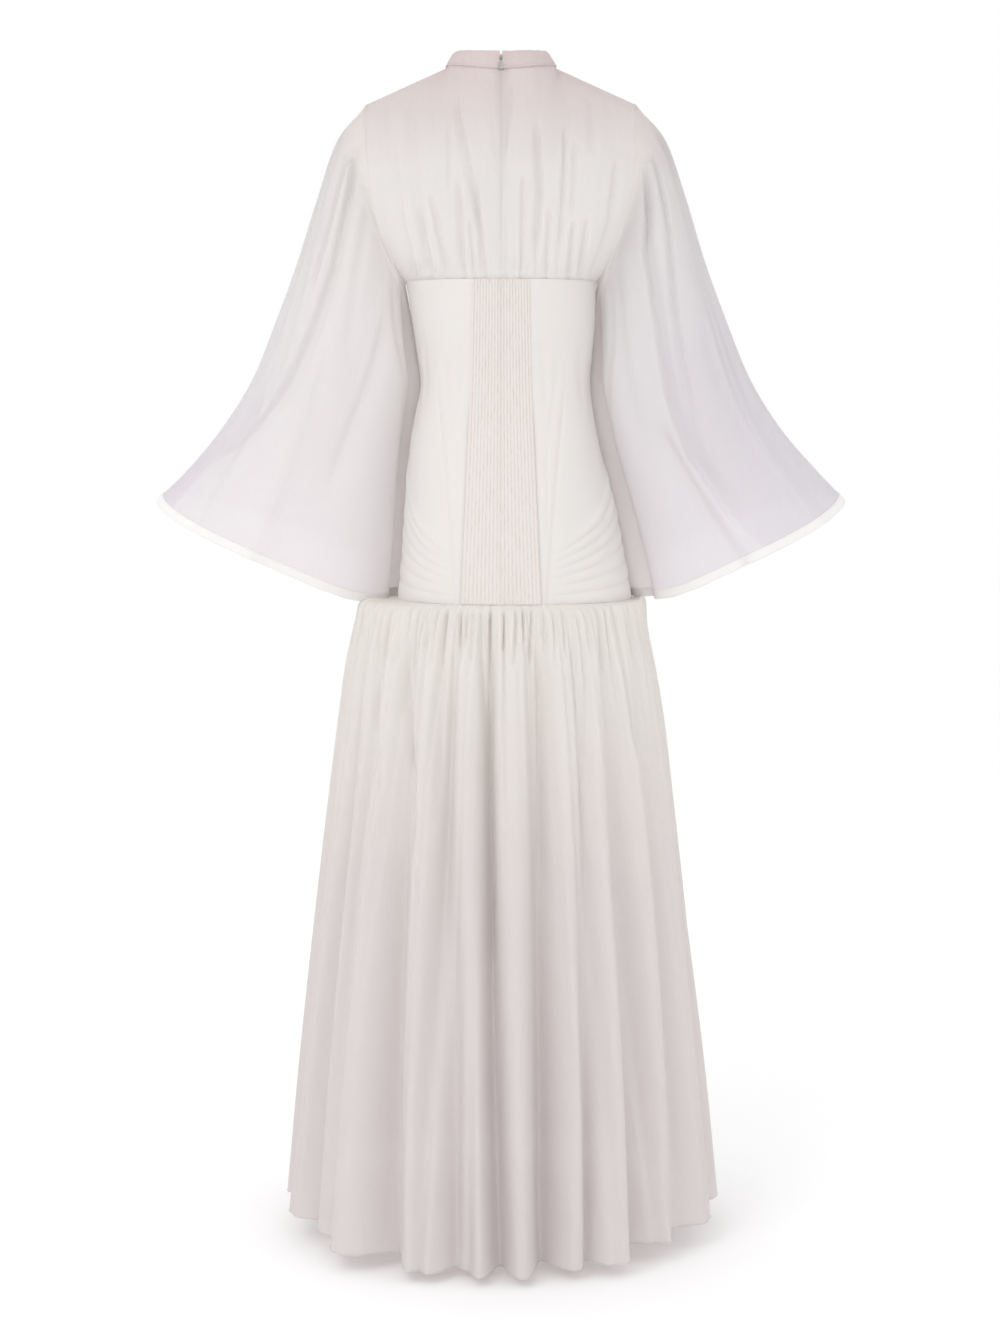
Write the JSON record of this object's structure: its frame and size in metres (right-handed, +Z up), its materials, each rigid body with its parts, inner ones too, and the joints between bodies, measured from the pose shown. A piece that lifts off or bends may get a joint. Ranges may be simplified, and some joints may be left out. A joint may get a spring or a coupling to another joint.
{
  "type": "cape-sleeved gown",
  "caption": "Floor-length gown, hollow as worn: stand collar, gathered sheer yoke, cape sleeves, pintucked corset, gathered skirt, zipped at the back.",
  "frame": {"origin": "between the shoulder seams at the base of the neck, where the shoulders hold the gown", "axes": "+Z up along the body, the front facing -Y and the zipped back +Y, +X to the wearer's left"},
  "size_m": [0.8853, 0.5048, 1.5002],
  "materials": {
    "collar": "sheer off-white chiffon, matt",
    "yoke_back_left": "sheer off-white chiffon, matt",
    "yoke_back_right": "sheer off-white chiffon, matt",
    "yoke_front": "sheer off-white chiffon, matt",
    "sleeve_left": "sheer off-white chiffon, matt",
    "sleeve_right": "sheer off-white chiffon, matt",
    "sleeve_binding_left": "soft ivory satin",
    "sleeve_binding_right": "soft ivory satin",
    "corset_tucks_left": "matt ivory crepe",
    "corset_tucks_right": "matt ivory crepe",
    "corset_back_left": "matt ivory crepe",
    "corset_back_right": "matt ivory crepe",
    "corset_side_left": "matt ivory crepe",
    "corset_side_right": "matt ivory crepe",
    "corset_front": "matt ivory crepe",
    "skirt_back_left": "sheer off-white chiffon, matt",
    "skirt_back_right": "sheer off-white chiffon, matt",
    "skirt_front": "sheer off-white chiffon, matt",
    "zip_tape": "woven tape, matt",
    "zip_slider": "grey-white lacquered metal",
    "zip_pull": "grey-white lacquered metal"
  },
  "bodies": {
    "gown": {"collar": "collar", "yoke_back_left": "yoke_back_left", "yoke_back_right": "yoke_back_right", "yoke_front": "yoke_front", "sleeve_left": "sleeve_left", "sleeve_right": "sleeve_right", "sleeve_binding_left": "sleeve_binding_left", "sleeve_binding_right": "sleeve_binding_right", "corset_tucks_left": "corset_tucks_left", "corset_tucks_right": "corset_tucks_right", "corset_back_left": "corset_back_left", "corset_back_right": "corset_back_right", "corset_side_left": "corset_side_left", "corset_side_right": "corset_side_right", "corset_front": "corset_front", "skirt_back_left": "skirt_back_left", "skirt_back_right": "skirt_back_right", "skirt_front": "skirt_front", "zip_tape": "zip_tape", "zip_slider": "zip_slider"},
    "zip_pull": {"zip_pull": "zip_pull"}
  },
  "joints": [
    {"name": "pull_swing", "type": "hinge", "parent": "gown", "child": "zip_pull", "pos_m": [0, 0.058, 0.02], "axis": [1, 0, 0], "range_deg": [0, 160]}
  ]
}
